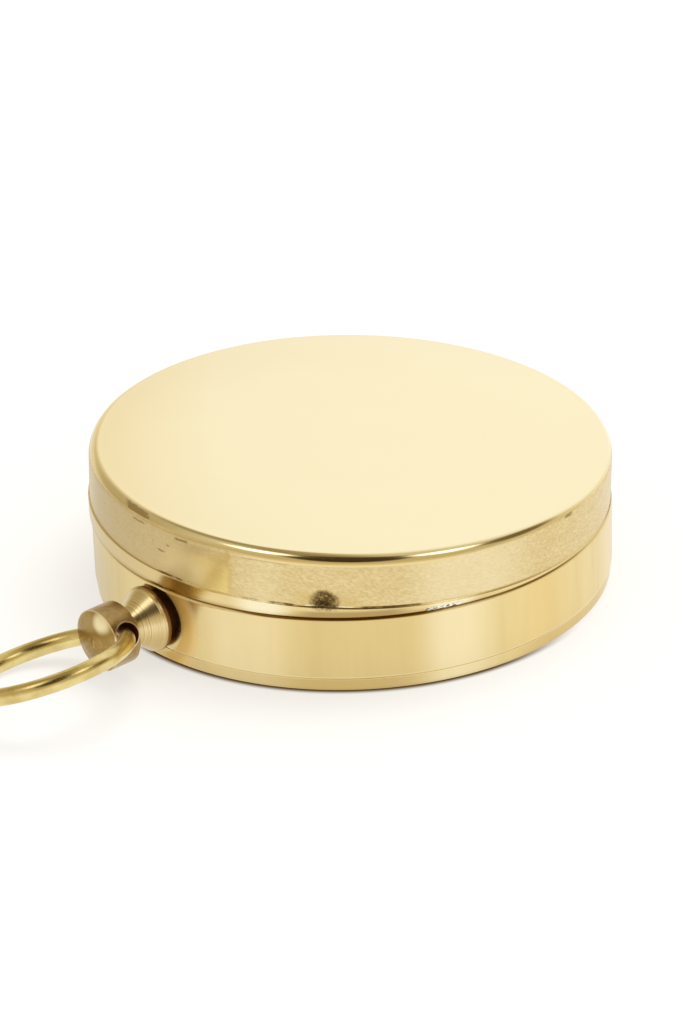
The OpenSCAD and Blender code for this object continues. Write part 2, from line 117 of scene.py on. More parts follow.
# %% A bench that makes one finish
class Bench:
    """The node tree of one finish."""

    def __init__(self, name=None, tree=None):
        if tree is None:
            self.finish = bpy.data.materials.new(name)
            self.finish.use_nodes = True
            tree = self.finish.node_tree
        self.tree = tree
        self.tree.nodes.clear()

    def node(self, kind, settings=None, inputs=None, out=0):
        """Adds a shader node: its settings first, then values or wires for its sockets."""
        made = self.tree.nodes.new("ShaderNode" + kind)
        for key, value in (settings or {}).items():
            if key == "stops":
                ramp = made.color_ramp
                while len(ramp.elements) < len(value):
                    ramp.elements.new(0.5)
                for element, (place, colour) in zip(ramp.elements, value):
                    element.position, element.color = place, (*colour, 1)
            else:
                setattr(made, key, value)
        for key, value in (inputs or {}).items():
            if isinstance(value, Wire):
                self.tree.links.new(value.socket, made.inputs[key])
            else:
                made.inputs[key].default_value = value
        return Wire(self, made.outputs[out]) if made.outputs else None

    def maths(self, operation, *values, clamp=False):
        """One Math node on numbers or wires."""
        settings = {"operation": operation, "use_clamp": clamp}
        return self.node("Math", settings, dict(enumerate(values)))

    def mix(self, share, first, second):
        """A colour between first and second, by share."""
        first, second = (c if isinstance(c, Wire) else (*c, 1) for c in (first, second))
        return self.node("Mix", {"data_type": "RGBA"}, {0: share, 6: first, 7: second}, out=2)

    def between(self, value, low, high):
        """0 below low, 1 above high, and a smooth rise from one to the other."""
        return self.node("MapRange", {"interpolation_type": "SMOOTHSTEP"}, {0: value, 1: low, 2: high})

    def span(self, value, low, high, soft):
        """1 between low and high, 0 outside, with edges `soft` wide."""
        rise = self.between(value, low - soft / 2, low + soft / 2)
        return rise * self.below(value, high - soft / 2, high + soft / 2)

    def below(self, value, low, high):
        """1 below low, 0 above high: the reverse of between."""
        return 1 - self.between(value, low, high)

    def coats(self, colour, layers):
        """Lays coats over a colour, one after another. Each coat is a share and a colour."""
        for share, coat in layers:
            colour = self.mix(share, colour, coat)
        return colour

    def parts(self, vector):
        """The x, y and z of a vector."""
        split = self.node("SeparateXYZ", inputs={0: vector}).socket.node
        return [Wire(self, split.outputs[k]) for k in range(3)]

    def place(self):
        """The point in the object's own frame, as a vector and as x, y and z."""
        point = self.node("TexCoord", out="Object")
        return point, *self.parts(point)

    def towards(self, vector, direction):
        """Cosine of the angle between a unit vector and a fixed direction."""
        unit = Vector(direction).normalized()
        return self.node("VectorMath", {"operation": "DOT_PRODUCT"}, {0: vector, 1: unit}, out="Value")

    def vector(self, x, y, z):
        """A vector from its x, y and z."""
        return self.node("CombineXYZ", inputs={0: x, 1: y, 2: z})

    def noise(self, point, scale, detail=2.0, roughness=0.5):
        """Cloudy noise from 0 to 1, with `scale` grains a metre."""
        inputs = {"Vector": point, "Scale": scale, "Detail": detail, "Roughness": roughness}
        return self.node("TexNoise", inputs=inputs)

    def bump(self, height, strength, distance, under=None):
        """A normal pushed about by height, on top of the normal under it."""
        inputs = {"Height": height, "Strength": strength, "Distance": distance}
        if under is not None:
            inputs["Normal"] = under
        return self.node("Bump", inputs=inputs)

    def shade(self, **values):
        """Ends the tree in a Principled shader. Names are its sockets, with _ for a space."""
        made = self.node("BsdfPrincipled", inputs={k.replace("_", " "): v for k, v in values.items()})
        self.node("OutputMaterial", inputs={0: made})
        return self.finish


print("a Bench has the tools:", ", ".join(tool for tool in vars(Bench) if not tool.startswith("_")))


# %% Give a finish to one of the solids
def dress(node, finish):
    """Puts the finish in every slot that the solid already has."""
    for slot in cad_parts[node].material_slots:
        slot.material = finish
    print(f"{node}: {finish.name}")


# %% [markdown]
# ## Floor and light
# Brass has hardly any colour of its own except in what it mirrors, so the studio is designed for the
# mirror. It could be built from glowing cards round the compass, but cards would show in other views, so
# the world is painted by direction instead. A direction is a bearing, 0 towards the camera and 90 to the
# right, and a height in degrees. Mirror rays see a bright wall, greyer sides, two windows and a dark place
# above the camera, which draws the black line along the lid's rolled edge. Diffuse light stays even.

# %% Directions in the studio
def bearing(degrees, height=0.0):
    """Unit vector: bearing 0 looks at the camera's side, -Y, and 90 at +X; height is above the table."""
    turn, rise = math.radians(degrees), math.radians(height)
    return (math.sin(turn) * math.cos(rise), -math.cos(turn) * math.cos(rise), math.sin(rise))


def patch(bench, vector, degrees, height, inner, outer):
    """1 within `inner` degrees of a direction, 0 past `outer` degrees, and smooth in between."""
    aim_cosine = bench.towards(vector, bearing(degrees, height))
    return bench.between(aim_cosine, math.cos(math.radians(outer)), math.cos(math.radians(inner)))


print("bearing 90 looks along", np.round(bearing(90), 3).tolist())

# %% The floor
FLOOR_HALF, FLOOR_Z = 3.0, 0.0
# The last paper colour and the last camera colour are a painted contact shadow under the round of the foot.
PAPER, PAPER_IN_PAINTED_SHADOW = (0.95, 0.93, 0.89), (0.20, 0.12, 0.02)
# SEEN_NEAR is a painted warm glow: light that the brass throws on the paper near the foot.
SEEN_NEAR, SEEN_FAR, SEEN_IN_PAINTED_SHADOW = (1, 0.975, 0.925), (1, 1, 0.995), (0.10, 0.05, 0.003)


def flat_sheet(name, half, z):
    """A level square with its corners at plus and minus half, at height z."""
    corners = np.array([[-1, -1], [1, -1], [1, 1], [-1, 1]], float) * half
    mesh = bpy.data.meshes.new(name)
    mesh.from_pydata(np.column_stack([corners, np.full(4, z)]).tolist(), [], [(0, 1, 2, 3)])
    made = bpy.data.objects.new(name, mesh)
    scene.collection.objects.link(made)
    return made


def paper_finish():
    """White paper: a diffuse part that keeps the shadow, and a glow that only camera and mirror rays see.

    Under the round of the foot a contact shadow is painted on the paper, and near the foot a warm glow of
    light thrown by the brass is painted too.
    """
    b = Bench("white_paper")
    point, x, y, _ = b.place()
    outward = b.node("VectorMath", {"operation": "NORMALIZE"}, {0: point})
    distance = (x * x + y * y) ** 0.5
    # the painted warm glow fades out between 36 and 90 mm from the middle
    far = b.between(distance, 36 * MM, 90 * MM)
    # painted contact shadow: a dark ring on the paper just outside the foot, in front only
    in_front = b.below(y + x * 0.35, -27 * MM, -8 * MM) * b.between(x, -35 * MM, -29 * MM)
    painted_contact_shadow = b.below(distance, 37.6 * MM, 38.8 * MM) * in_front
    # painted light and shade on the paper, seen only in mirrors: brighter towards bearings 22 and -24, darker
    # towards -120
    level = 1.0 + patch(b, outward, 22, 0, 8, 24) * 0.14 + patch(b, outward, -24, 0, 6, 18) * 0.07
    level = level - patch(b, outward, -120, 0, 20, 65) * 0.2
    mirror_glow = b.mix(level, (0, 0, 0), (1.0, 0.985, 0.96))
    camera_glow = b.mix(painted_contact_shadow, b.mix(far, SEEN_NEAR, SEEN_FAR), SEEN_IN_PAINTED_SHADOW)
    is_mirror = b.node("LightPath", out="Is Glossy Ray")
    is_camera = b.node("LightPath", out="Is Camera Ray")
    matt = b.node("BsdfDiffuse", inputs={"Color": b.mix(painted_contact_shadow, PAPER, PAPER_IN_PAINTED_SHADOW)})
    glow = b.node("Emission", inputs={"Color": b.mix(is_mirror, camera_glow, mirror_glow), "Strength": 1.0})
    share = is_camera * 0.68 + is_mirror * 0.8
    b.node("OutputMaterial", inputs={0: b.node("MixShader", inputs={0: share, 1: matt, 2: glow})})
    return b.finish


floor = flat_sheet("floor", FLOOR_HALF, FLOOR_Z)
floor.data.materials.append(paper_finish())
print("floor is", 2 * FLOOR_HALF, "m square")

# %% Places in the room
# Each place is bearing, height, full inside, gone outside, all in degrees, and brightness.
PLACES = {
    "bright wall behind": (150, 28, 22, 52, 1.0),
    "grey wall at the left": (-118, 30, 14, 34, 0.47),
    "dark corner at the right": (84, 36, 8, 21, 0.14),
    "dim ceiling at the left": (-150, 62, 8, 20, 0.33),
    "dim ceiling overhead": (-120, 84, 6, 16, 0.28),
    "dark above the camera": (0, 50, 17, 25, 0.02),
    "dark further up": (0, 64, 14, 24, 0.03),
    "window at the right": (58, 54, 7, 14, 1.0),
    "window at the left": (-56, 60, 7, 14, 1.0),
}
WALLS, LOW_GLOW, WINDOW_GAIN = 0.62, 0.2, 0.8


def room_level(b, heading, up):
    """Brightness in each direction: even walls, paler low down, and each place painted over the last."""
    level = WALLS + b.below(up, 0.16, 0.34) * LOW_GLOW
    for degrees, height, inner, outer, value in PLACES.values():
        level = level + (value - level) * patch(b, heading, degrees, height, inner, outer)
    return level


print("places in the room:", len(PLACES))

# %% The room that the metal mirrors
world = bpy.data.worlds.new("room")
scene.world = world
world.use_nodes = True
room = Bench(tree=world.node_tree)
heading = room.node("TexCoord", out="Generated")
up = room.parts(heading)[2]
warm_to_white = [(0.0, (0.03, 0.012, 0.0005)), (0.3, (0.32, 0.25, 0.125)), (0.6, (0.60, 0.52, 0.355)),
                 (0.82, (0.80, 0.72, 0.56)), (1.0, (1.0, 0.99, 0.955))]
mirrored = room.node("ValToRGB", {"stops": warm_to_white}, {0: room_level(room, heading, up)})
is_mirror = room.node("LightPath", out="Is Glossy Ray")
is_camera = room.node("LightPath", out="Is Camera Ray")
plain = room.mix(is_camera, (0.62, 0.62, 0.62), (1, 1, 0.995))
window_right, window_left = (PLACES["window at the " + side][:4] for side in ("right", "left"))
windows = patch(room, heading, *window_right) + patch(room, heading, *window_left)
strength = 1 + windows * is_mirror * WINDOW_GAIN
colour = room.mix(is_mirror, plain, mirrored)
background = room.node("Background", inputs={"Color": colour, "Strength": strength})
room.node("OutputWorld", inputs={0: background})
print("the room mirrors white, with a dark place above the camera")


# %% Two soft lamps
def soft_lamp(name, place, size, watts, colour=(1, 1, 1)):
    """A square lamp at place, turned to the compass."""
    light = bpy.data.lights.new(name, "AREA")
    light.size, light.energy, light.color = size, watts, colour
    lamp = bpy.data.objects.new(name, light)
    lamp.location = place
    lamp.rotation_euler = (aim - Vector(place)).to_track_quat("-Z", "Y").to_euler()
    lamp.visible_glossy = False
    scene.collection.objects.link(lamp)
    return lamp


over_lamp = soft_lamp("over_lamp", (0.25, 0.25, 0.9), 0.7, 7.0)
side_lamp = soft_lamp("side_lamp", (0.7, -0.35, 0.45), 0.4, 1.6, (1, 0.97, 0.92))
print("lamps:", over_lamp.name, side_lamp.name)

# %% [markdown]
# ## Surfaces from formulas
# The lid is one turned and cast piece. A Screw modifier could spin its section, but the lid leans, and its
# crease and dents are on one side only. So it's a grid: columns go round the axis and rows follow the
# section. Each grid point is worked out for the whole array at once, and one function turns any such grid
# into a closed mesh with a single point at each pole.

# %% Grid to mesh
def skin(name, grid, body, finish, poles=True):
    """Mesh of grid[row, column]. Columns close on themselves.

    A quad joins (r, c), (r, c + 1), (r + 1, c + 1), (r + 1, c). With poles, the first and the last row are
    closed by fans to one point each. Without, the section is a loop and the last row joins the first.
    """
    rows, cols = grid.shape[:2]
    here = np.arange(cols)
    after = (here + 1) % cols
    step = np.arange(rows - 1 if poles else rows)
    low, high = (step * cols)[:, None], ((step + 1) % rows * cols)[:, None]
    quads = np.stack([low + here, low + after, high + after, high + here], -1).reshape(-1, 4)
    points = grid.reshape(-1, 3)
    fans = []
    if poles:
        last = (rows - 1) * cols
        points = np.vstack([points, grid[0].mean(0), grid[-1].mean(0)])
        fans.append(np.stack([np.full(cols, rows * cols), after, here], -1))
        fans.append(np.stack([np.full(cols, rows * cols + 1), last + here, last + after], -1))
    mesh = bpy.data.meshes.new(name)
    loops = np.concatenate([quads.ravel(), *(f.ravel() for f in fans)]).astype(np.int32)
    sizes = np.concatenate([np.full(len(quads), 4), np.full(sum(map(len, fans)), 3)])
    mesh.vertices.add(len(points))
    mesh.vertices.foreach_set("co", points.astype(np.float32).ravel())
    mesh.loops.add(len(loops))
    mesh.loops.foreach_set("vertex_index", loops)
    mesh.polygons.add(len(sizes))
    mesh.polygons.foreach_set("loop_start", (np.cumsum(sizes) - sizes).astype(np.int32))
    mesh.polygons.foreach_set("use_smooth", np.ones(len(sizes), bool))
    mesh.update(calc_edges=True)
    mesh.materials.append(finish)
    made = bpy.data.objects.new(name, mesh)
    scene.collection.objects.link(made)
    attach(made, body)
    print(f"{name}: {len(points)} points, {int((sizes - 2).sum())} triangles")
    return made


# %% [markdown]
# ## The lid's section
# The lid is a casting that was gripped a little crooked when its lip was turned: the dome, the roll and the
# grainy band lean two degrees, and the lip is level. So lip rows are level circles, casting rows are circles
# leaned about the middle of the band, and the lip's upper edge climbs where the leaning ledge meets it.

# %% Sizes of the lid, in metres
LEAN = math.radians(2.1)
LIP_R, LIP_Z, BAND_R = 38.199 * MM, 11.6 * MM, 37.9 * MM
BAND_Z, BAND_TOP, ROLL_R = 13.1 * MM, 19.3 * MM, 1.6 * MM
LEAN_Z = (BAND_Z + BAND_TOP) / 2
DOME_RIM_R, DOME_RIM_Z, CROWN, FLAT_R = BAND_R - ROLL_R, BAND_TOP + ROLL_R, 0.995 * MM, 18 * MM
BORE_R, BORE_TOP = 36.68 * MM, 16.45 * MM
ROOM_R, ROOM_TOP = BAND_R - 2.5 * MM, DOME_RIM_Z - 1.6 * MM
FILLET_MM, LIP_EDGE, LIP_BREAK, LEDGE_SUNK = 1.2, 0.35 * MM, 0.06 * MM, 0.08 * MM
DENT_AT = np.radians([-96.5, 23.5, 143.5])
DENT_Z, DENT_DEEP = BAND_Z + 1.0 * MM, 0.55 * MM
print(f"lid: {2 * LIP_R / MM:.1f} mm across the lip, top at {(DOME_RIM_Z + CROWN) / MM:.2f} mm")


def lean(points):
    """Turns points about the Y direction by LEAN, round the middle of the band, at (0, 0, LEAN_Z)."""
    x, y, z = points[..., 0], points[..., 1], points[..., 2] - LEAN_Z
    c, s = math.cos(LEAN), math.sin(LEAN)
    return np.stack([x * c + z * s, y, z * c - x * s + LEAN_Z], -1)


def ripple(angle, height, size, seed):
    """A smooth wandering height: sines of angle and height whose pace and phase come from the seed."""
    dice = np.random.default_rng(seed)
    total = np.zeros(np.broadcast(angle, height).shape)
    for pace in (3, 5, 8, 13, 21):
        a, b, c = dice.uniform(0, 2 * math.pi, 3)
        tall = dice.uniform(0.3, 1.0) * pace * 60
        total = total + np.sin(pace * angle + a) * np.cos(height * tall + b) * np.cos(pace + c) / pace ** 0.5
    return size * total


# %% Columns, closer together at the visible dent
around = np.linspace(-math.pi, math.pi, 461)[:-1]
near_dent = DENT_AT[0] + np.linspace(-4.2, 4.2, 72) * MM / BAND_R
keep = np.abs(around - DENT_AT[0]) > 4.4 * MM / BAND_R
theta = np.sort(np.concatenate([around[keep], near_dent]))
print("columns round the lid:", len(theta))


def level_ring(radius, height):
    """Circle of the given radius and height, both numbers or arrays along theta."""
    radius, height = (np.broadcast_to(v, theta.shape) for v in (radius, height))
    return np.stack([radius * np.cos(theta), radius * np.sin(theta), height], -1)


def quarter(start, stop, count):
    """Angles of a round, from start to stop in degrees."""
    return np.radians(np.linspace(start, stop, count))


# %% [markdown]
# A punch was driven into the band in three places to make the lid grip. One mark shows: a soft hollow
# that draws the metal in, with a torn, sooty floor. Its depth is a bell curve of the distance from the
# punch, and fine ripples break up the floor.

# %% The dents
def dent(angle, height):
    """Depth on the band: a bell of 1.6 mm to each side, a wide shallow hollow, and a torn floor."""
    depth = np.zeros(np.broadcast(angle, height).shape)
    for centre in DENT_AT:
        side = (angle - centre + math.pi) % (2 * math.pi) - math.pi
        a, b = side * BAND_R / MM, (height - DENT_Z) / MM
        bell = 0.8 * np.exp(-((a / 1.6) ** 2 + (b / 1.2) ** 2) ** 1.4)
        wide = 0.30 * np.exp(-(a / 2.9) ** 2 - (b / 1.9) ** 2)
        torn = 0.16 * bell * np.sin(7.3 * a + 2.1 * b) * np.sin(8.1 * b - 3.3 * a + 1.0)
        depth = depth + np.maximum(bell + wide + torn, 0)
    return DENT_DEEP * np.minimum(depth, 1.15)


print("deepest dent, mm:", round(float(dent(theta, DENT_Z).max() / MM), 2))


# %% [markdown]
# The rows follow the section from the ceiling inside, down the bore, round the lip, up the band and over the
# dome. Each row is a ring, with a flag that says whether it belongs to the leaning casting.

# %% Rows inside the lid
def bore_rows():
    """The ceiling, its round, the wall of the room, the level step, and the bore down to the lip.

    On the round of size f, the point at angle a is (ROOM_R - f + f cos a, ROOM_TOP - f + f sin a).
    """
    rows = []
    fillet = FILLET_MM * MM
    for r in np.linspace(0.4, ROOM_R / MM - FILLET_MM, 14) * MM:
        rows.append((True, level_ring(r, ROOM_TOP)))
    for a in quarter(90, 0, 7)[1:]:
        inner = ROOM_R - fillet + fillet * math.cos(a)
        rows.append((True, level_ring(inner, ROOM_TOP - fillet + fillet * math.sin(a))))
    rows.append((True, level_ring(ROOM_R, BORE_TOP + 0.9 * MM)))
    for r in np.linspace(ROOM_R, BORE_R, 4):
        rows.append((False, level_ring(r, BORE_TOP)))
    for z in np.linspace(BORE_TOP, LIP_Z, 8)[1:]:
        rows.append((False, level_ring(BORE_R, z)))
    return rows


# %% Rows of the lip
def lip_rows():
    """The lip's underside, its round lower edge, its wall, and its broken upper edge.

    The ledge over it is part of the leaning band, so its height falls with x by the tangent of LEAN. Where
    the ledge comes down to the lip's foot, the lip draws in under the band and dies out.
    """
    rows = []
    ledge = LEAN_Z + (BAND_Z - 0.05 * MM - LEAN_Z) / math.cos(LEAN) - LIP_R * np.cos(theta) * math.tan(LEAN)
    tall = ledge - LIP_Z
    lip_r = BAND_R - LEDGE_SUNK + (LIP_R - BAND_R + LEDGE_SUNK) * np.clip(tall / (0.9 * MM), 0, 1)
    edge = np.minimum(LIP_EDGE, 0.35 * tall)
    for k in np.linspace(0, 1, 5)[1:]:
        rows.append((False, level_ring(BORE_R + k * (lip_r - edge - BORE_R), LIP_Z)))
    for a in quarter(-90, 0, 7)[1:]:
        rows.append((False, level_ring(lip_r - edge + edge * math.cos(a), LIP_Z + edge + edge * math.sin(a))))
    break_r = np.minimum(LIP_BREAK, 0.2 * tall)
    pull = dent(theta, ledge) * 0.4
    for k in (0.1, 0.25, 0.4, 0.6, 0.8, 0.92, 1.0):
        rows.append((False, level_ring(lip_r - pull * k ** 2, LIP_Z + edge + k * (tall - edge - break_r))))
    for a in quarter(30, 90, 3):
        broken_r = lip_r - pull - break_r * (1 - math.cos(a))
        rows.append((False, level_ring(broken_r, ledge - break_r * (1 - math.sin(a)))))
    return rows


# %% Rows of the band
SEAMS = [(-27.2, -24.0), (-15.5, -13.5), (-11.7, -8.4), (1.0, 9.0)]  # x from and to, in millimetres


def band_rows():
    """The grainy band: a crease over the ledge that opens only along SEAMS, then a wall with the dents in
    it and a ripple that calms down towards the roll.
    """
    x = BAND_R * np.cos(theta) / MM
    seen = sum(np.clip(np.minimum(x - low, high - x) + 0.5, 0, 1) for low, high in SEAMS)
    crease = (0.02 * MM + np.maximum(ripple(theta, 0.0, 0.07 * MM, 4), 0)) * seen
    rows = [(True, level_ring(BAND_R - crease - dent(theta, BAND_Z), BAND_Z - 0.04 * MM)),
            (True, level_ring(BAND_R - crease * 0.6 - dent(theta, BAND_Z), BAND_Z + 0.08 * MM))]
    low_part = np.linspace(BAND_Z + 0.2 * MM, BAND_Z + 3.0 * MM, 22)
    high_part = np.linspace(BAND_Z + 3.3 * MM, BAND_TOP, 10)
    for z in np.concatenate([low_part, high_part]):
        calm = 1 - ((z - BAND_Z) / (BAND_TOP - BAND_Z)) ** 6
        rows.append((True, level_ring(BAND_R - dent(theta, z) + ripple(theta, z, 0.022 * MM, 1) * calm, z)))
    return rows


# %% Rows of the roll and the dome
def top_rows():
    """The roll, a quarter circle of size ROLL_R that swells a little, and the dome, the arc of a large circle
    that rises by CROWN over its width and is flat inside FLAT_R.
    """
    rows = []
    swell = ripple(theta, 0.0, 0.05 * MM, 2)
    for a in quarter(5, 88, 18):
        reach = ROLL_R + swell * math.sin(2 * a)
        rows.append((True, level_ring(DOME_RIM_R + reach * math.cos(a), BAND_TOP + reach * math.sin(a))))
    width = DOME_RIM_R - FLAT_R
    dome_r = (width ** 2 + CROWN ** 2) / (2 * CROWN)
    for r in np.linspace(DOME_RIM_R - 0.4 * MM, FLAT_R, 22):
        drop = dome_r - math.sqrt(dome_r ** 2 - (r - FLAT_R) ** 2)
        rows.append((True, level_ring(r, DOME_RIM_Z + CROWN - drop)))
    for r in np.linspace(FLAT_R, 0.5 * MM, 12)[1:]:
        rows.append((True, level_ring(r, DOME_RIM_Z + CROWN)))
    return rows


# %% The whole lid
lid_rings = bore_rows() + lip_rows() + band_rows() + top_rows()
lid_grid = np.stack([lean(ring) if leaning else ring for leaning, ring in lid_rings])
print("rows of the lid:", len(lid_rings))

# %% [markdown]
# ## Brass for the lid
# The lid is one casting, so it has one finish. It could be three materials on three sets of faces, but the
# borders between them lean and wander, so masks are better. Height along the leaning axis tells polished
# dome from grainy band and from turned lip, and the punch's place tells its sooty, shaded mark from clean
# metal. Other masks paint light and shade into the colour: painted shade, highlights and reflections. The
# grain of sand-cast brass is fine noise, used twice: in the colour and as a bump.

# %% Colours of the punch mark
def dent_place(b, x, y, height):
    """Distances from the front punch mark in millimetres: along the band, and up it."""
    cx, cy = math.cos(DENT_AT[0]), math.sin(DENT_AT[0])
    along = (x * -cy + y * cx) * (1 / MM)
    behind = b.below(x * cx + y * cy, 0.0, 0.01)
    return along + behind * 100, (height - DENT_Z) * (1 / MM)


def soot_over(b, colour, point, side, low):
    """Paints the front mark: painted shade on the metal drawn in round it, painted highlight arcs at its
    foot, a ragged brown floor, sooty and in painted shade that is darkest low down, and gold specks in the
    floor.
    """
    around = side * side / 1.85 ** 2 + low * low / 1.35 ** 2
    ragged = around + (b.noise(point, 700, 2.0) - 0.5) * 2.2 + (b.noise(point, 2400, 3.0, 0.7) - 0.5) * 2.0
    # the mark's floor: soot, with painted shade that is deepest low down
    soot_and_shade = b.below(ragged, 0.2, 1.8)
    specks = b.between(b.noise(point, 2900, 2.0), 0.46, 0.62) * b.between(low, -0.95, -0.4)
    brown = b.mix(b.between(low, -0.9, 0.3), (0.02, 0.008, 0.003), (0.15, 0.085, 0.028))
    # painted shade on the metal drawn in round the mark, and painted highlight arcs at its foot
    drawn = b.span(side, -3.6, 4.8, 3.0) * b.span(low, -1.3, 1.0, 1.2)
    arcs = (b.span(side, -2.6, -1.7, 0.5) + b.span(side, 1.9, 4.0, 0.6)) * b.span(low, -1.02, -0.82, 0.16)
    return b.coats(colour, [
        (drawn * 0.5, (0.66, 0.47, 0.16)),
        (arcs * 0.9, (1.0, 0.93, 0.66)),
        (soot_and_shade * 0.93, b.mix(specks * 0.7, brown, (0.52, 0.36, 0.13)))]), soot_and_shade


print("front punch mark at bearing", round(float(np.degrees(DENT_AT[0])) + 90, 1))


# %% Colours of the grainy band
def band_colour(b, point, x, front, height):
    """Grainy brass with painted shade on the left and paler painted reflections in front, and one gold patch
    that ends in a sharp upright line.
    """
    _, y, z = b.parts(point)
    grain = b.noise(b.vector(x, y, z * 2.3 + x * 0.7), 1700, 3.0, 0.6)
    waves = b.noise(b.vector(x, y, z * 3.2 + x * 0.5), 330, 2.0, 0.5)
    brass = b.mix(b.between(grain, 0.3, 0.7), (0.67, 0.515, 0.228), (0.815, 0.665, 0.36))
    # painted reflections: paler stretches of the band in front
    pale = b.span(x, 9 * MM, 23 * MM, 8 * MM) + b.span(x, -15 * MM, -11 * MM, 5 * MM) * 0.5
    # painted shade: the band darker and greyer on the left
    left = b.below(x, -23 * MM, -17 * MM) * front
    edge_noise = (b.noise(point, 500) - 0.5) * (1.5 * MM)
    gold = b.between(x, -24 * MM, -20 * MM) * b.below(x + edge_noise, -17.8 * MM, -16.9 * MM) * front
    gold = gold * b.below(height + edge_noise * 2, 17 * MM, 19 * MM)
    edge_line = b.span(x + edge_noise, -17.7 * MM, -17.2 * MM, 0.5 * MM) * front
    pits = b.between(b.noise(point, 1500, 3.0, 0.65), 0.68, 0.74) * (0.25 + left * 0.75)
    return b.coats(brass, [
        (b.between(waves, 0.42, 0.64) * 0.25, (0.62, 0.46, 0.18)),
        (pale * front * 0.5, (0.95, 0.83, 0.53)),
        (left * 0.6, (0.55, 0.41, 0.19)),
        (gold * 0.55, (0.93, 0.73, 0.27)),
        (edge_line * 0.35, (0.62, 0.43, 0.12)),
        (pits * 0.7, (0.25, 0.15, 0.05))]), grain


# %% Colours of the turned lip
# Colour of the crevice where lid and case meet: painted shade, with old polish left in it.
UNDER_LID_SHADE_AND_POLISH = (0.28, 0.15, 0.025)


def lip_colour(b, point, x, z, front, on_lip):
    """Turned brass with painted light and shade: it darkens downwards, most in front and on the left, with
    two painted highlights either side of the front, a painted window glint with dark dashes, and a painted
    shade with old polish at its foot.
    """
    up = (z - LIP_Z) * (1 / MM)
    brass = b.mix(b.noise(point, 90, 3.0), (0.86, 0.70, 0.36), (0.79, 0.625, 0.29))
    # painted shade on the left of the lip
    left = b.below(x, -30 * MM, -18 * MM)
    # painted shade low on the front of the lip
    front_shade = b.span(x, -8 * MM, 7 * MM, 5 * MM) * front
    # two painted highlights, one either side of the front
    bright = (b.span(x, -16 * MM, -10 * MM, 4 * MM) + b.span(x, 10.5 * MM, 16.5 * MM, 3 * MM)) * front
    tall = 1 - b.between(x, 14 * MM, 22 * MM) * front
    # painted shade: the lip darkens downwards, and its lowest edge is darker still, painted shade with old
    # polish
    shade = b.below(up, 0.2, 0.9) * (1 - bright * 0.7) * tall
    under = b.below(up, 0.1, 0.3) * (1 - bright * 0.5) * (0.35 + tall * 0.65)
    # painted reflection of a window, torn by dark dashes
    silver = b.span(x, 9.7 * MM, 14.7 * MM, 0.6 * MM) * b.span(up, 0.05, 0.55, 0.2) * front
    torn = b.between(b.noise(b.vector(x, z * 2.2, 0), 1500, 2.0), 0.47, 0.56)
    return b.coats(brass, [
        (left * on_lip * 0.3, (0.55, 0.40, 0.18)),
        (front_shade * b.below(up, 0.8, 1.4) * 0.85, (0.40, 0.27, 0.10)),
        (bright * on_lip * 0.75, (1.0, 0.93, 0.68)),
        (shade * 0.6, (0.45, 0.31, 0.11)),
        (under * 0.9, UNDER_LID_SHADE_AND_POLISH),
        (silver * 0.9, b.mix(torn, (0.95, 0.93, 0.80), (0.10, 0.08, 0.035)))])


# %% Old knocks
# Each knock is x from, x to, height from, height to, in millimetres, and how dark.
NICKS = [(-31.5, -28.4, 20.1, 20.7, 0.6), (-30.7, -29.1, 19.15, 19.4, 0.8), (-24.7, -23.0, 19.1, 19.45, 0.9),
         (-27.4, -26.4, 16.3, 16.55, 0.9), (-26.0, -25.6, 17.5, 17.8, 0.8), (29.8, 30.8, 19.5, 19.9, 0.8),
         (-15.5, -9.0, 19.2, 19.32, 0.5)]


def nicks(b, point, x, height, front):
    """Darkness of the knocks: the sum of soft boxes with shaky edges."""
    shaky = (b.noise(point, 1300, 2.0) - 0.5) * (0.9 * MM)
    total = 0.0
    for x_low, x_high, low, high, dark in NICKS:
        along = b.span(x + shaky, x_low * MM, x_high * MM, 0.5 * MM)
        total = along * b.span(height + shaky * 0.3, low * MM, high * MM, 0.14 * MM) * dark + total
    return total * front


print("old knocks:", len(NICKS))

# %% Lid finish
IMAGE_LEFT, IMAGE_HIGH = 23.2 * MM, 14.4 * MM  # where the band mirrors the bow


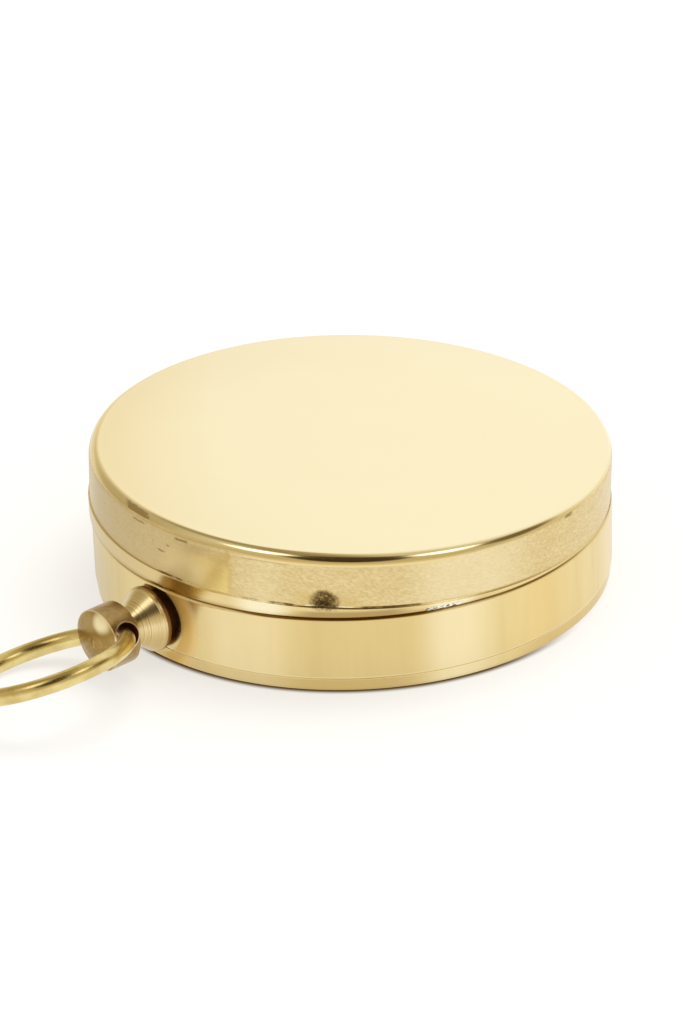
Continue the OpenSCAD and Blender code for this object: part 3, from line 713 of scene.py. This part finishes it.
def lid_finish():
    """Masks for dome, band and lip pick the colour. Seams, knocks and the punch mark are painted over it.

    Height is measured square to the leaning casting: (z - LEAN_Z) cos LEAN + x sin LEAN + LEAN_Z. Where the
    band mirrors the bow, a painted patch of pale, partly matt brass covers the bow's dark reflection.
    """
    b = Bench("cast_and_polished_brass")
    point, x, y, z = b.place()
    front = b.below(y, -12 * MM, -6 * MM)
    height = (z - LEAN_Z) * math.cos(LEAN) + x * math.sin(LEAN) + LEAN_Z
    wobble = (b.noise(point, 700) - 0.5) * (0.25 * MM)
    up_roll = b.between(b.maths("ABSOLUTE", x), 11 * MM, 20 * MM) * (0.55 * MM)
    on_band = b.span(height + wobble - up_roll * b.between(height, LEAN_Z, BAND_TOP),
                     BAND_Z + 0.06 * MM, BAND_TOP + 0.05 * MM, 0.2 * MM)
    on_top = b.between(height, BAND_TOP + 0.6 * MM, BAND_TOP + 1.2 * MM)
    grainy, grain = band_colour(b, point, x, front, height)
    dome_colour = b.mix(b.noise(point, 90, 3.0), (0.99, 0.885, 0.60), (0.975, 0.865, 0.565))
    # painted shade: towards the left the dome turns darker and more orange
    dome_colour = b.mix(b.below(x, -36 * MM, -16 * MM) * 0.5, dome_colour, (0.97, 0.80, 0.46))
    from_image = ((x + IMAGE_LEFT) ** 2 + (height - IMAGE_HIGH) ** 2) ** 0.5
    # painted light: pale, partly matt brass over the bow's dark reflection in the band
    matt = b.below(from_image, 1.2 * MM, 4.8 * MM) * on_band * front
    seams = 0.0
    for low, high in SEAMS:
        seams = b.span(x, low * MM, high * MM, 0.8 * MM) + seams
    thread = b.span(height + wobble * 0.2, BAND_Z - 0.06 * MM, BAND_Z + 0.14 * MM, 0.1 * MM)
    broken = b.between(b.noise(point, 450, 2.0), 0.40, 0.50)
    on_lip = b.below(z, 15 * MM, 16 * MM)
    colour = b.coats(lip_colour(b, point, x, z, front, on_lip), [
        (on_top, dome_colour),
        (on_band, grainy),
        (matt * 0.7, (0.96, 0.76, 0.36)),
        (thread * seams * (0.4 + broken * 0.6) * front * 0.85, (0.16, 0.09, 0.02)),
        (nicks(b, point, x, height, front), (0.30, 0.19, 0.06))])
    colour, soot_and_shade = soot_over(b, colour, point, *dent_place(b, x, y, height))
    rough = 0.125 + on_band * 0.15 + soot_and_shade * 0.3 + on_lip * (1 - on_band) * 0.08
    normal = b.bump(on_band * grain, 0.35, 0.02 * MM)
    return b.shade(Base_Color=colour, Metallic=1 - matt * 0.6, Roughness=rough, Normal=normal)


lid = skin("lid_skin", lid_grid, "lid", lid_finish())
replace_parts(lid, "lid_shell")

# %% [markdown]
# ## Turned pieces
# The case wall and the foot plate are surfaces of revolution. Their solids have the right shape, but a close
# look needs finer rounds, and a Bevel modifier would round a solid's loose triangles badly. So each section
# is a list of right-angled corners, each with its round, turned about +Z. Extra points close to the ends of
# every straight part keep its shading flat.

# %% Section to surface
ROUND_POINTS, SHORT, NEAR_END = 7, 0.4, 0.12  # points on a round; the other two in millimetres


def section(corners, loop):
    """Points along a section in metres, from corners (radius, height, round) in millimetres.

    With u and v the directions to the neighbours, a round of size s runs over
    corner + s * (u + v - v cos a - u sin a), for a from 0 to 90 degrees.
    """
    spots = np.array([corner[:2] for corner in corners], float)
    arcs = []
    for k, spot in enumerate(spots):
        if not loop and k in (0, len(spots) - 1):
            arcs.append(spot[None])
            continue
        u, v = spots[k - 1] - spot, spots[(k + 1) % len(spots)] - spot
        u, v = u / np.linalg.norm(u), v / np.linalg.norm(v)
        a = quarter(0, 90, ROUND_POINTS)[:, None]
        arcs.append(spot + corners[k][2] * (u + v - v * np.cos(a) - u * np.sin(a)))
    points = []
    for arc, following in zip(arcs, arcs[1:] + arcs[:1]):
        points.append(arc)
        run = following[0] - arc[-1]
        length = np.linalg.norm(run)
        if length > SHORT and (loop or following is not arcs[0]):
            share = np.linspace(NEAR_END, length - NEAR_END, 2 + int(length)) / length
            points.append(arc[-1] + share[:, None] * run)
    return np.vstack(points) * MM


def turned(name, corners, finish, loop=True, columns=360):
    """Turns a section about +Z and makes its skin, on the case."""
    profile = section(corners, loop)
    if not loop:
        profile = profile[1:-1]
    a = np.linspace(0, 2 * math.pi, columns, endpoint=False)
    r, z = profile[:, :1], profile[:, 1:]
    grid = np.stack([r * np.cos(a), r * np.sin(a), z + 0 * a], -1)
    return skin(name, grid, "case", finish, poles=not loop)


# %% [markdown]
# A lathe leaves fine rings round the axis, and rubbing along the wall leaves faint upright streaks. Rings
# depend on height and radius only. Streaks are noise that changes slowly with height. Light and shade are
# painted too: paler and darker stretches in front, painted shade with old polish in the narrow crevice
# under the lid, and next to the bow a painted reflection of its gold, which makes the wall redder. That
# mask needs distances from the bow's axis.

# %% Distances from the bow
BOW_TURN, BOW_Z = math.radians(221.5), 6.25 * MM


def bow_place(b):
    """A point's distances from the bow: sideways, out along its axis, and square off that axis."""
    _, x, y, z = b.place()
    out = x * math.cos(BOW_TURN) + y * math.sin(BOW_TURN)
    across = y * math.cos(BOW_TURN) - x * math.sin(BOW_TURN)
    high = z - BOW_Z
    return across, out, (across * across + high * high) ** 0.5


print(f"the bow points out at {math.degrees(BOW_TURN)} degrees from +X, {BOW_Z / MM} mm up")


# %% Turned finish
def turned_finish(name, light, dark, rough):
    """Streaks between a light and a dark brass, painted light and shade on parts of the front, and fine
    rings.

    `rough` is the roughness of clean metal. Streaks and the place next to the bow add to it.
    """
    b = Bench(name)
    _, x, y, z = b.place()
    radius = (x * x + y * y) ** 0.5
    rings = b.noise(b.vector(0, 0, (z + radius) * 6500), 1.0, 2.0)
    streaks = b.noise(b.vector(x, y, z * 0.1), 230, 4.0, 0.55)
    front = b.below(y, -12 * MM, -6 * MM)
    # painted reflections: paler stretches of the wall in front
    pale = b.span(x, 10 * MM, 18 * MM, 6 * MM) + b.span(x, -20 * MM, -11 * MM, 5 * MM) * 0.6
    # painted reflection: an orange stretch on the right of the front
    orange = b.span(x, 23 * MM, 29 * MM, 6 * MM) * front
    low = b.below(z, 1.8 * MM, 2.0 * MM)
    # painted shade in the middle of the front, deepest on the foot
    front_shade = b.span(x, -10 * MM, 8 * MM, 8 * MM) * front
    # painted shade on the foot at both sides of the front
    sides = b.below(x, -12 * MM, -6 * MM) + b.between(x, 21 * MM, 26 * MM)
    outside = b.between(radius, 37.0 * MM, 37.15 * MM) * b.below(z, 11.6 * MM, 11.7 * MM)
    # painted shade, with old polish, at the top of the wall under the lid's lip
    thick = b.span(x, -15 * MM, 11 * MM, 5 * MM)
    start = 11.24 * MM - thick * (0.16 * MM)
    under_lid_shade_and_polish = b.between(z - start, -0.06 * MM, 0.06 * MM) * outside
    under_lid_shade_and_polish = under_lid_shade_and_polish * (0.3 + b.span(x, -17 * MM, 32 * MM, 4 * MM) * 0.5 + thick * 0.2)
    across, out, from_bow = bow_place(b)
    # painted reflection of the bow's gold on the wall next to the bow, where the metal is also made partly
    # matt
    by_bow = b.below(from_bow, 7.4 * MM, 9.2 * MM) * b.between(out, 30 * MM, 33 * MM)
    golden = b.mix(b.between(from_bow, 6.5 * MM, 8.2 * MM), (0.80, 0.52, 0.14), (0.95, 0.68, 0.27))
    painted_bow_reflection = by_bow * b.between(across, 0, 3 * MM) * b.between(from_bow, 5.3 * MM, 5.7 * MM)
    # painted light: a pale line along the groove above the foot
    edge = b.span(z, 1.72 * MM, 2.2 * MM, 0.1 * MM) * outside
    colour = b.coats(b.mix(b.between(streaks, 0.3, 0.7), light, dark), [
        (pale * front * 0.6, (0.97, 0.86, 0.56)),
        (orange * 0.4, (0.86, 0.64, 0.26)),
        (front_shade * (0.4 + low * 0.6), (0.64, 0.475, 0.19)),
        (sides * low * front * 0.45, (0.62, 0.445, 0.17)),
        (under_lid_shade_and_polish, UNDER_LID_SHADE_AND_POLISH),
        (painted_bow_reflection * 0.9, golden),
        (edge * 0.7, (0.98, 0.86, 0.52))])
    normal = b.bump(rings, 0.5, 0.002 * MM)
    rough = rough + streaks * 0.05 + painted_bow_reflection * 0.15
    return b.shade(Base_Color=colour, Metallic=1 - painted_bow_reflection * 0.35, Roughness=rough, Normal=normal)


case_brass = turned_finish("turned_brass", (0.83, 0.665, 0.325), (0.775, 0.605, 0.275), 0.2)
print("finish:", case_brass.name)

# %% Case wall and foot plate
wall = [(33.9, 1.9, 0.05), (37.9, 1.9, 0.35), (37.9, 11.5, 0.65), (36.6, 11.5, 0.08), (36.6, 16.1, 0.2),
        (34.4, 16.1, 0.03), (34.4, 16.02, 0.03), (34.9, 16.02, 0.03), (34.9, 15.28, 0.05),
        (34.4, 15.28, 0.05), (34.4, 13.5, 0.08), (33.6, 13.5, 0.08), (33.6, 9.55, 0.08), (32.3, 9.55, 0.08),
        (32.3, 3.1, 0.08), (33.9, 3.1, 0.05)]
foot = [(0, 0, 0), (37.65, 0, 0.35), (37.65, 1.9, 0.2), (33.88, 1.9, 0.08), (33.88, 3.1, 0.08),
        (32.3, 3.1, 0.1), (32.3, 2.5, 0.1), (12, 2.5, 0.2), (12, 3.1, 0.2), (0, 3.1, 0)]
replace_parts(turned("case_skin", wall, case_brass), "case_ring")
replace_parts(turned("foot_skin", foot, case_brass, loop=False), "base_plate")
for node in ("dial_pillars", "pivot_boss", "glass_snap_ring", "bow_nut"):
    dress(node, case_brass)

# %% [markdown]
# ## The bow
# The bow is darker brass, turned on its own axis, which lies level and points out of the case. Its solid has
# the right shape, so it only gets a finish, and one with masks, because a solid's mesh can't be cut into
# slots. Its rings are measured along its axis. The cross hole has an axis of its own, and the distance from
# it finds the hole's wall and its polished lip.

# %% Bow finish
CONE_OUT, HEAD_OUT, FACE_OUT, HEAD_R = 39.73 * MM, 44.03 * MM, 48.13 * MM, 4.55 * MM
HOLE_OUT, HOLE_R, HOLE_TURN, HOLE_SKEW = 45.766 * MM, 1.886 * MM, math.radians(20), math.radians(5)


def from_hole(b, point):
    """Distance from the axis of the cross hole: the length of (point - middle) x direction."""
    outward = Vector((math.cos(BOW_TURN), math.sin(BOW_TURN), 0))
    sideways = Vector((-math.sin(BOW_TURN), math.cos(BOW_TURN), 0))
    flat = math.cos(HOLE_SKEW)
    direction = sideways * (math.cos(HOLE_TURN) * flat) + outward * math.sin(HOLE_SKEW)
    direction.z = math.sin(HOLE_TURN) * flat
    middle = outward * HOLE_OUT + Vector((0, 0, BOW_Z))
    arm = b.node("VectorMath", {"operation": "SUBTRACT"}, {0: point, 1: middle})
    crossed = b.node("VectorMath", {"operation": "CROSS_PRODUCT"}, {0: arm, 1: direction})
    return b.node("VectorMath", {"operation": "LENGTH"}, {0: crossed}, out="Value")


def bow_finish():
    """Golden cone with tool marks and painted shade low down, satin barrel, and a domed face with painted
    shade on its lower half, a painted highlight and a painted highlight on its rim. Painted shade darkens the
    back of the flange. The hole is red-brown.
    """
    b = Bench("turned_bronze")
    point, _, _, z = b.place()
    across, out, radius = bow_place(b)
    rings = b.noise(b.vector(0, 0, (out * 2 + radius) * 4600), 1.0, 3.0, 0.6)
    grain = b.noise(point, 2600, 4.0, 0.65)
    clouds = b.noise(point, 520, 3.0, 0.6)
    on_head = b.between(out, HEAD_OUT - 0.5 * MM, HEAD_OUT)
    on_face = b.between(out, FACE_OUT - 0.02 * MM, FACE_OUT + 0.05 * MM)
    side, high = across * (1 / MM), (z - BOW_Z) * (1 / MM)
    cone = b.mix(b.between(rings, 0.3, 0.72), (0.96, 0.82, 0.50), (0.60, 0.44, 0.17))
    barrel = b.mix(b.between(clouds, 0.3, 0.7), (0.46, 0.32, 0.13), (0.33, 0.21, 0.075))
    barrel = b.mix(b.between(grain, 0.3, 0.75) * 0.4, barrel, (0.55, 0.40, 0.18))
    # painted shade on the lower half of the face
    low_half = b.below(high + side * 0.2, -0.6, 1.9)
    # painted highlight: a bright arc at the upper right of the face
    shine = (side * 0.57 + high * 0.82 - 3.4) ** 2 / 2.6 + (side * 0.82 - high * 0.57 + 0.8) ** 2 / 3.6
    flecks = b.between(grain, 0.48, 0.62) * low_half
    face = b.coats(b.mix(b.between(clouds, 0.3, 0.7), (0.43, 0.295, 0.10), (0.35, 0.225, 0.065)), [
        (low_half * 0.85, (0.31, 0.185, 0.045)),
        (b.below(shine, 0.0, 1.2) * 0.85, (1.0, 0.87, 0.54)),
        (flecks * 0.6, (0.60, 0.42, 0.15))])
    # painted highlight along the rim of the face
    rim = b.span(radius, HEAD_R - 0.16 * MM, HEAD_R + 0.1 * MM, 0.1 * MM)
    rim = rim * b.span(out, FACE_OUT - 0.06 * MM, FACE_OUT + 0.2 * MM, 0.08 * MM)
    # painted shade on the back of the flange, next to the washer
    flange_back_shade = b.below(out, CONE_OUT - 0.75 * MM, CONE_OUT - 0.35 * MM)
    reach = from_hole(b, point)
    lip = b.span(reach, HOLE_R + 0.01 * MM, HOLE_R + 0.22 * MM, 0.08 * MM) * on_head
    inside = b.below(reach, HOLE_R, HOLE_R + 0.04 * MM) * on_head
    # the first coat is painted shade on the lower part of the cone
    colour = b.coats(cone, [
        (b.below(high, -1.6, 1.2) * 0.55, (0.56, 0.385, 0.12)),
        (on_head, barrel),
        (on_face, face),
        (rim * 0.5, (0.90, 0.74, 0.42)),
        (flange_back_shade * 0.85, (0.20, 0.08, 0.025)),
        (lip * 0.7, (0.92, 0.76, 0.58)),
        (inside, b.mix(clouds, (0.62, 0.25, 0.12), (0.36, 0.12, 0.05)))])
    tool = b.bump(rings * (1 - on_face), 0.5, 0.006 * MM)
    normal = b.bump(grain * on_head, 0.3, 0.008 * MM, tool)
    rough = 0.25 + inside * 0.2
    return b.shade(Base_Color=colour, Metallic=1.0, Roughness=rough, Normal=normal)


dress("bow_stud", bow_finish())

# %% [markdown]
# Behind the bow's flange sits a washer. It is painted nearly black, as painted shade of the narrow space
# behind the flange, and it draws a dark crescent against the bright wall.

# %% Washer
def dark_finish():
    """Nearly black, as painted shade, with red-brown spots of old wax and polish."""
    b = Bench("washer_in_painted_shade")
    point, *_ = b.place()
    spots = b.noise(point, 1800, 3.0)
    colour = b.mix(spots, (0.025, 0.008, 0.003), (0.12, 0.04, 0.015))
    return b.shade(Base_Color=colour, Metallic=0.5, Roughness=0.45 + spots * 0.1)


dress("bow_washer", dark_finish())

# %% [markdown]
# ## The ring
# The ring is drawn wire, polished by the hand that carries it, so it's the yellowest and brightest brass on
# the compass. Long scratches would need a pattern that follows the wire, and at 2.5 mm thick they hardly
# show, so clouds of two brasses and a fine uneven bump are enough.

# %% Wire finish
def wire_finish():
    """Clouds between a bright and a darker brass, which also make the wire rougher, over a fine bump."""
    b = Bench("drawn_wire")
    point, *_ = b.place()
    clouds = b.noise(point, 260, 4.0, 0.6)
    scratches = b.noise(point, 3000, 3.0)
    colour = b.mix(b.between(clouds, 0.3, 0.7), (0.85, 0.71, 0.33), (0.66, 0.51, 0.19))
    normal = b.bump(scratches + clouds, 0.3, 0.014 * MM)
    return b.shade(Base_Color=colour, Metallic=1.0, Roughness=0.17 + clouds * 0.14, Normal=normal)


dress("bow_ring", wire_finish())

# %% [markdown]
# ## Steel, stone and rubber
# The needle is tempered until its north half turns blue, the pivot is bright, and the jewel is a red stone.
# These pieces are small and even, so one recipe serves most of them: a little cloud between two close
# colours, with the same cloud as a faint bump.

# %% Small finishes
def plain_finish(name, light, dark, metal, rough, grain=900):
    """A nearly even finish, with a little cloud between two close colours."""
    b = Bench(name)
    point, *_ = b.place()
    clouds = b.noise(point, grain, 3.0)
    normal = b.bump(clouds, 0.2, 0.01 * MM)
    return b.shade(Base_Color=b.mix(clouds, light, dark), Metallic=metal, Roughness=rough, Normal=normal)


def needle_finish():
    """Blue on the north half of the needle, bright on the south half."""
    b = Bench("blued_and_bright_steel")
    point, _, y, _ = b.place()
    clouds = b.noise(point, 500, 3.0)
    blue = b.mix(clouds, (0.03, 0.07, 0.30), (0.06, 0.05, 0.20))
    bright = b.mix(clouds, (0.75, 0.76, 0.78), (0.60, 0.61, 0.64))
    return b.shade(Base_Color=b.mix(b.between(y, 0.0, 0.2 * MM), bright, blue), Metallic=0.9, Roughness=0.2)


# %% Needle, screws, pivot and gasket
dress("needle_blade", needle_finish())
dress("dial_screws", plain_finish("blued_screws", (0.04, 0.06, 0.16), (0.08, 0.08, 0.18), 0.9, 0.25))
bright_steel = plain_finish("bright_steel", (0.62, 0.62, 0.64), (0.5, 0.5, 0.53), 1.0, 0.22)
for node in ("pivot_pin", "bow_spring_washer"):
    dress(node, bright_steel)
fine_brass = plain_finish("fine_brass", (0.86, 0.68, 0.30), (0.80, 0.61, 0.25), 1.0, 0.18)
for node in ("needle_cap", "needle_collar", "needle_counterweight"):
    dress(node, fine_brass)
dress("needle_jewel", plain_finish("red_stone", (0.45, 0.02, 0.04), (0.30, 0.01, 0.03), 0.0, 0.08))
dress("glass_gasket", plain_finish("black_rubber", (0.02, 0.02, 0.02), (0.035, 0.035, 0.035), 0.0, 0.7))

# %% [markdown]
# ## The dial
# The lid hides the dial in the photograph, so this one is plain and generic: a printed star of eight points
# on ivory paint, and a silvered ring of degrees. A point of the star is a rhombus, and a rhombus is every
# place where |along| / length + |across| / width is below 1. Marks of the ring repeat with direction, so
# they come from the distance to the nearest multiple of 2 and of 10 degrees.

# %% Star on the dial
INK = (0.05, 0.045, 0.04)


def rhombus(b, along, across, length, width):
    """1 inside a rhombus with its long half-axis along the first distance."""
    reach = b.maths("ABSOLUTE", along) * (1 / length) + b.maths("ABSOLUTE", across) * (1 / width)
    return b.below(reach, 0.985, 1.015)


def dial_finish():
    """Ivory paint with an eight-pointed star; one half of every point is ink, the other is outlined."""
    b = Bench("ivory_paint")
    point, x, y, _ = b.place()
    radius = (x * x + y * y) ** 0.5
    clouds = b.noise(point, 300, 3.0)
    colour = b.mix(clouds, (0.80, 0.755, 0.63), (0.76, 0.71, 0.57))
    step = math.sqrt(0.5)
    for u, v, length, width in ((x * step + y * step, y * step - x * step, 12.5 * MM, 2.9 * MM),
                                (x, y, 17.5 * MM, 4.0 * MM)):
        star = b.maths("MAXIMUM", rhombus(b, u, v, length, width), rhombus(b, v, u, length, width))
        inner = b.maths("MAXIMUM", rhombus(b, u, v, length * 0.96, width * 0.9),
                        rhombus(b, v, u, length * 0.96, width * 0.9))
        turn = b.maths("ARCTAN2", v, u) * (180 / math.pi)
        side = b.between(b.maths("SINE", turn * (math.pi / 45)), -0.03, 0.03)
        colour = b.mix(star, colour, b.mix(inner * side, INK, (0.80, 0.75, 0.62)))
    rings = b.span(radius, 18.4 * MM, 18.7 * MM, 0.05 * MM) + b.span(radius, 27.2 * MM, 27.4 * MM, 0.05 * MM)
    hub = b.below(radius, 3.35 * MM, 3.4 * MM)
    colour = b.mix(b.maths("MAXIMUM", rings, hub), colour, INK)
    return b.shade(Base_Color=colour, Roughness=0.45 + clouds * 0.1, Normal=b.bump(clouds, 0.2, 0.01 * MM))


dress("dial_plate", dial_finish())


# %% Marks of the degree ring
def scale_finish():
    """Frosted silvering with a mark every 2 degrees and a longer one every 10."""
    b = Bench("silvered_scale")
    point, x, y, _ = b.place()
    radius = (x * x + y * y) ** 0.5
    turn = b.maths("ARCTAN2", x, y) * (180 / math.pi)
    short_mark = b.below(b.maths("PINGPONG", turn, 1.0), 0.12, 0.22)
    long_mark = b.below(b.maths("PINGPONG", turn, 5.0), 0.20, 0.32)
    ink = b.maths("MAXIMUM", short_mark * b.span(radius, 28.4 * MM, 29.2 * MM, 0.05 * MM),
                  long_mark * b.span(radius, 28.4 * MM, 29.8 * MM, 0.05 * MM))
    frost = b.noise(point, 2600, 2.0)
    colour = b.mix(frost, (0.80, 0.79, 0.75), (0.70, 0.69, 0.66))
    return b.shade(Base_Color=b.mix(ink, colour, INK), Metallic=0.9 - ink * 0.9, Roughness=0.4 + frost * 0.06)


dress("degree_ring", scale_finish())

# %% [markdown]
# Letters come from Blender's own font. A text becomes a mesh first, and only then is each of its points
# carried to its place: along the clockwise direction, outwards up the slope, and off the surface.

# %% Letters and numbers
DIAL_TOP, SCALE_IN, SCALE_SLOPE = 10.35 * MM, (28.0 * MM, 10.85 * MM), math.atan2(2.65, 4.6)


def text_shape(words, height):
    """Points and faces of a short text, centred at the origin, one fiftieth of a millimetre thick."""
    words_curve = bpy.data.curves.new("words", "FONT")
    words_curve.body, words_curve.size, words_curve.extrude = words, height, 0.01 * MM
    words_curve.align_x, words_curve.align_y, words_curve.resolution_u = "CENTER", "CENTER", 4
    carrier = bpy.data.objects.new("words", words_curve)
    scene.collection.objects.link(carrier)
    mesh = bpy.data.meshes.new_from_object(carrier)
    bpy.data.objects.remove(carrier)
    points = np.empty(len(mesh.vertices) * 3)
    mesh.vertices.foreach_get("co", points)
    return points.reshape(-1, 3), [tuple(face.vertices) for face in mesh.polygons]


def lettered(name, labels, height, radius, z, slope):
    """One mesh of labels (bearing from +Y in degrees, text) round a circle, lying on a cone of that slope.

    A text point (a, b, c) goes to centre + a * clockwise + b * uphill + c * outward normal.
    """
    points, faces = [], []
    for degrees, words in labels:
        turn = math.radians(degrees)
        radial = np.array([math.sin(turn), math.cos(turn), 0])
        clockwise = np.array([math.cos(turn), -math.sin(turn), 0])
        uphill = radial * math.cos(slope) + np.array([0, 0, math.sin(slope)])
        normal = np.cross(clockwise, uphill)
        flat, text_faces = text_shape(words, height)
        start = sum(map(len, points))
        centre = radial * radius + [0, 0, z] + normal * 0.015 * MM
        points.append(centre + flat @ np.stack([clockwise, uphill, normal]))
        faces += [tuple(start + k for k in face) for face in text_faces]
    mesh = bpy.data.meshes.new(name)
    mesh.from_pydata(np.vstack(points).tolist(), [], faces)
    ink = plain_finish(name + "_ink", INK, (0.08, 0.07, 0.06), 0.0, 0.4)
    mesh.materials.append(ink)
    made = bpy.data.objects.new(name, mesh)
    scene.collection.objects.link(made)
    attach(made, "case")
    print(f"{name}: {len(labels)} labels, {len(mesh.polygons)} faces")


lettered("dial_letters", [(0, "N"), (90, "E"), (180, "S"), (270, "W")], 4.2 * MM, 21.4 * MM, DIAL_TOP, 0.0)
number_r = 31.2 * MM
lettered("scale_numbers", [(turn, str(turn)) for turn in range(0, 360, 30)], 2.0 * MM, number_r,
         SCALE_IN[1] + (number_r - SCALE_IN[0]) * math.tan(SCALE_SLOPE), SCALE_SLOPE)

# %% [markdown]
# ## Glass
# The glass is a flat disc. A Glass shader would do, but a Principled one with full transmission keeps the
# same sockets as every other finish here. A trace of haze makes the pane visible when the lid is up.

# %% Glass finish
def glass_finish():
    """Clear glass, a little green, with a trace of haze from wiping."""
    b = Bench("flat_glass")
    _, x, y, z = b.place()
    haze = b.noise(b.vector(x, y * 3, z), 90, 3.0)
    colour = b.mix(haze, (0.985, 0.995, 0.99), (0.965, 0.985, 0.975))
    return b.shade(Base_Color=colour, Roughness=haze * 0.03, IOR=1.5, Transmission_Weight=1.0)


dress("glass", glass_finish())

# %% [markdown]
